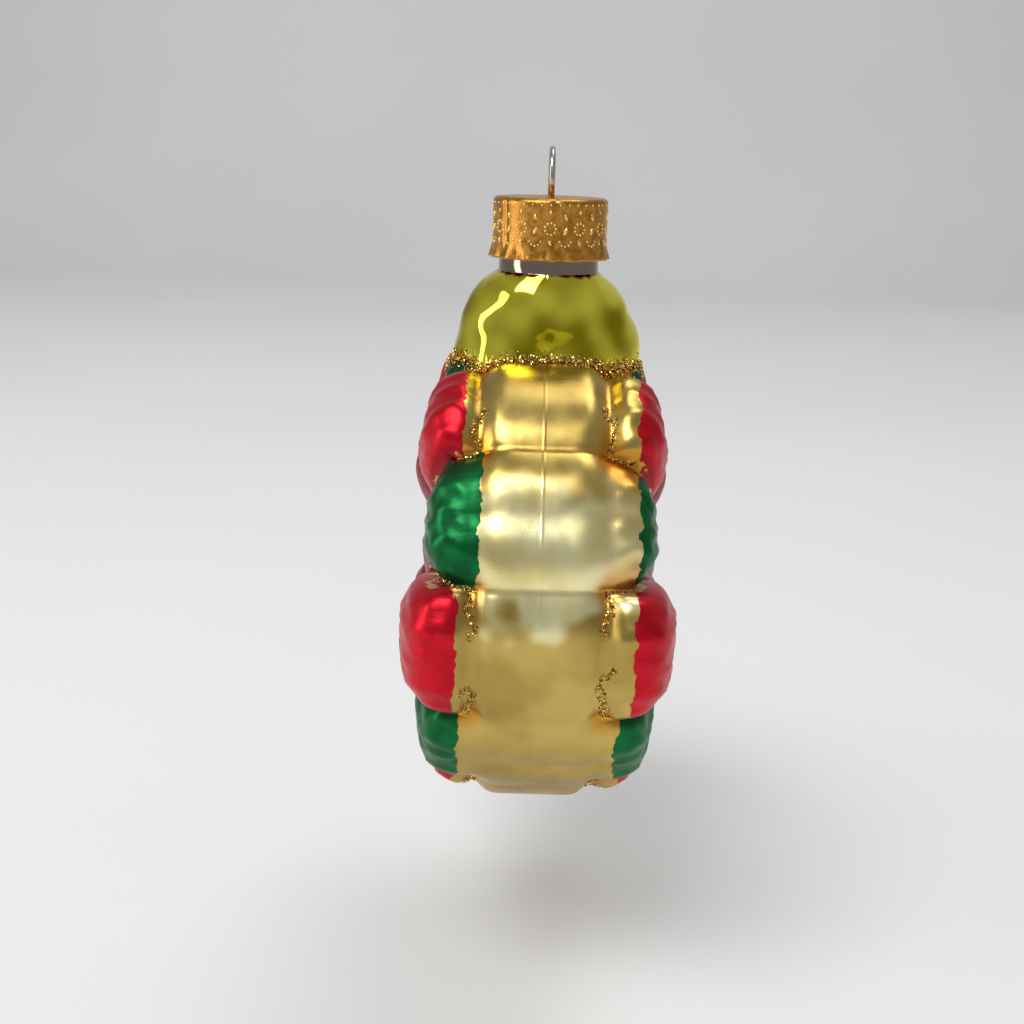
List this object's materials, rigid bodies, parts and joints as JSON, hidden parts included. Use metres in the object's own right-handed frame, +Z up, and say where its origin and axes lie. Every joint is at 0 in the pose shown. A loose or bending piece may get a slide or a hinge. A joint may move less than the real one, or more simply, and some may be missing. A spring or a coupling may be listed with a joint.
{
  "type": "glass poinsettia ornament",
  "caption": "Hollow mould-blown glass poinsettia tree ornament with a crimped metal cap and a spring-wire hanging eye.",
  "frame": {"origin": "inside top of the wire hanger's eye, where a hook or ribbon carries the ornament", "axes": "+Z up, -Y towards the flower's front face, X across the flower's width"},
  "size_m": [0.0658, 0.0368, 0.0883],
  "materials": {
    "lacquered_glass": "silvered inside, satin and glossy lacquers outside in champagne gold, red and green",
    "gilt_cap": "embossed antique gold plating",
    "spring_wire": "drawn wire",
    "glitter": "gold glitter strewn on clear glue"
  },
  "bodies": {
    "hanger": {"wire_hanger": "spring_wire"},
    "cap": {"ornament_cap": "gilt_cap"},
    "glass": {"glass_body": "lacquered_glass", "glitter_shoulder_line": "glitter", "glitter_front_1": "glitter", "glitter_front_2": "glitter", "glitter_front_3": "glitter", "glitter_front_4": "glitter", "glitter_front_5": "glitter", "glitter_front_6": "glitter", "glitter_front_7": "glitter", "glitter_front_8": "glitter", "glitter_front_9": "glitter", "glitter_front_10": "glitter", "glitter_front_11": "glitter", "glitter_front_12": "glitter", "glitter_back_1": "glitter", "glitter_back_2": "glitter", "glitter_back_3": "glitter", "glitter_back_4": "glitter", "glitter_back_5": "glitter", "glitter_back_6": "glitter", "glitter_back_7": "glitter", "glitter_back_8": "glitter", "glitter_back_9": "glitter", "glitter_back_10": "glitter", "glitter_back_11": "glitter", "glitter_back_12": "glitter"}
  },
  "joints": [
    {"name": "cap_rock", "type": "hinge", "parent": "hanger", "child": "cap", "pos_m": [0, 0, -0.00565], "axis": [1, 0, 0], "range_deg": [-4, 4]},
    {"name": "glass_pull", "type": "slide", "parent": "cap", "child": "glass", "axis": [0, 0, -1], "range_m": [0, 0.022]}
  ]
}
